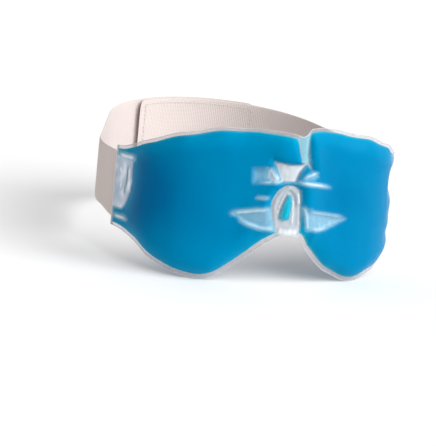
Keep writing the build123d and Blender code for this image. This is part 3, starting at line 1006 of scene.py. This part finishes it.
def make_straps():
    """Both straps and the tip."""
    fabric = strap_material()
    start = BOND_START - TAB_START
    lap = strap_middle(LAP_LIFT, STRAP_N)
    side_end = strap_middle(0, STRAP_N) + OVERLAP
    peel = lap - TIP_HINGE
    tip_start = peel - TIP_RUN_IN
    left = ribbon("head_strap_left", 0, STRAP_N, start, side_end, 1, corner=LEFT_CORNER)
    finish_piece(left, fabric, "strap_fabric", "strap_left", "strap_left_anchor")
    right = ribbon("head_strap_right", LAP_LIFT, STRAP_N, start, tip_start, -1)
    finish_piece(right, fabric, "strap_fabric", "strap_right", "strap_right_anchor")
    tip = ribbon("head_strap_tip", LAP_LIFT, STRAP_N, tip_start, lap + OVERLAP, -1, corner=TIP_CORNER)
    finish_piece(tip, fabric, "strap_fabric", "strap_tip")
    hinge = TAB_HINGE - TAB_START
    bend_start, bend_end, tip_bend = hinge - 2, hinge + 3, 3.5
    strap_spot(bend_start, 1)
    strap_spot(bend_end, 1)
    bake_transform(left)
    strap_spot(bend_start, -1, LAP_LIFT)
    strap_spot(bend_end, -1, LAP_LIFT)
    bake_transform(right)
    strap_spot(peel - tip_bend, -1, LAP_LIFT)
    strap_spot(peel + tip_bend, -1, LAP_LIFT)
    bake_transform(tip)


def make_closure():
    """Hook and loop patches at the back of the head, with the stitches that hold them."""
    inner, outer = STRAP_N - STRAP_THICKNESS / 2, STRAP_N + STRAP_THICKNESS / 2
    narrow = STRAP_WIDTH - 2 * PATCH_BORDER
    loop_n, hook_n = outer + LOOP / 2 - PATCH_SINK, inner - HOOK / 2 + PATCH_SINK
    loop_start, loop_stop = (strap_middle(0, loop_n) + reach for reach in LOOP_REACH)
    loop = ribbon("loop_tape", 0, loop_n, loop_start, loop_stop, 1, narrow, LOOP)
    fuzzy = tape_material("loop_tape", (0.60, 0.55, 0.54), 1500.0, 0.9)
    finish_piece(loop, fuzzy, "loop_tape", "loop_patch")
    hook_start, hook_stop = (strap_middle(LAP_LIFT, hook_n) + reach for reach in HOOK_REACH)
    hook = ribbon("hook_tape", LAP_LIFT, hook_n, hook_start, hook_stop, -1, narrow, HOOK)
    hooked = tape_material("hook_tape", (0.66, 0.63, 0.62), 1100.0, 0.5)
    finish_piece(hook, hooked, "hook_tape", "hook_patch")
    thread = thread_material()
    loop_seam = stitch_line("loop_seam", 0, inner - SEAM_LIFT, LOOP_REACH, 1)
    finish_piece(loop_seam, thread, "thread", "loop_stitching")
    hook_seam = stitch_line("hook_seam", LAP_LIFT, outer + SEAM_LIFT, HOOK_REACH, -1)
    finish_piece(hook_seam, thread, "thread", "hook_stitching")
    for piece in (loop, loop_seam):
        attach(piece, "left_strap")
    for piece in (hook, hook_seam):
        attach(piece, "strap_end")


# Light, ground and camera

WHITE = (1.0, 1.0, 1.0, 1)
SKY_STRENGTH = 0.50
SUN_STRENGTH, SUN_SIZE, SUNBEAM = 3.7, 60, (-0.6, 0.7, -0.6)  # size in degrees; which way its light goes
FLOOR_REACH, FLOOR_Z = 12000.0, -47.8
CAMERA_TURN, CAMERA_RAISED, CAMERA_ROLL = -18.93, 13.24, 6.01  # degrees
CAMERA_LENS, CAMERA_SENSOR = 131.7, 36.0
CAMERA_DISTANCE = 1.0  # from the point that it looks at; these three lines are in metres
VIEW_START = (0, -0.0638, 0)
VIEW_LEFT, VIEW_DOWN = 0.03104, 0.01713  # how far that point lies to the left of the start and below it


def make_world():
    """Even light from all round, which the camera sees as plain white."""
    world = bpy.data.worlds.new("studio")
    world.use_nodes = True
    tree = world.node_tree
    around = tree.nodes["Background"]
    around.inputs["Color"].default_value = WHITE
    around.inputs["Strength"].default_value = SKY_STRENGTH
    horizon = tree.nodes.new("ShaderNodeBackground")
    horizon.inputs["Color"].default_value = WHITE
    seen = tree.nodes.new("ShaderNodeMixShader")
    tree.links.new(tree.nodes.new("ShaderNodeLightPath").outputs["Is Camera Ray"], seen.inputs[0])
    tree.links.new(around.outputs[0], seen.inputs[1])
    tree.links.new(horizon.outputs[0], seen.inputs[2])
    tree.links.new(seen.outputs[0], tree.nodes["World Output"].inputs["Surface"])
    bpy.context.scene.world = world


def make_sun():
    """Soft sun from above and in front, on the wearer's left."""
    light = bpy.data.lights.new("soft_sun", "SUN")
    light.energy, light.angle = SUN_STRENGTH, math.radians(SUN_SIZE)
    lamp = bpy.data.objects.new("soft_sun", light)
    lamp.rotation_euler = Vector(SUNBEAM).to_track_quat("-Z", "Y").to_euler()
    bpy.context.scene.collection.objects.link(lamp)


def make_floor():
    """Pale floor just under the object."""
    corners = [(FLOOR_REACH * x, FLOOR_REACH * y, FLOOR_Z) for x, y in ((-1, -1), (1, -1), (1, 1), (-1, 1))]
    floor = add_mesh("floor", corners, [(0, 1, 2, 3)], smooth=False)
    floor.data.materials.append(stage_material("pale_floor", (0.92, 0.92, 0.92)))


def make_camera():
    """Camera in front of the object, turned, raised and rolled as in the photo."""
    turn, raised, roll = (math.radians(angle) for angle in (CAMERA_TURN, CAMERA_RAISED, CAMERA_ROLL))
    back = Vector((math.sin(turn) * math.cos(raised), -math.cos(turn) * math.cos(raised), math.sin(raised)))
    level = Vector((0, 0, 1)).cross(back).normalized()
    up = back.cross(level)
    right = math.cos(roll) * level + math.sin(roll) * up
    upright = -math.sin(roll) * level + math.cos(roll) * up
    aim = Vector(VIEW_START) - VIEW_LEFT * right - VIEW_DOWN * upright
    data = bpy.data.cameras.new("camera")
    data.lens, data.sensor_width = CAMERA_LENS, CAMERA_SENSOR
    camera = bpy.data.objects.new("camera", data)
    rotation = Matrix((right, upright, back)).transposed().to_4x4()
    camera.matrix_world = Matrix.Translation(aim + CAMERA_DISTANCE * back) @ rotation
    bpy.context.scene.collection.objects.link(camera)
    bpy.context.scene.camera = camera


make_pillow()
make_straps()
make_closure()
make_world()
make_sun()
make_floor()
make_camera()
bpy.context.scene.view_settings.view_transform = "Standard"
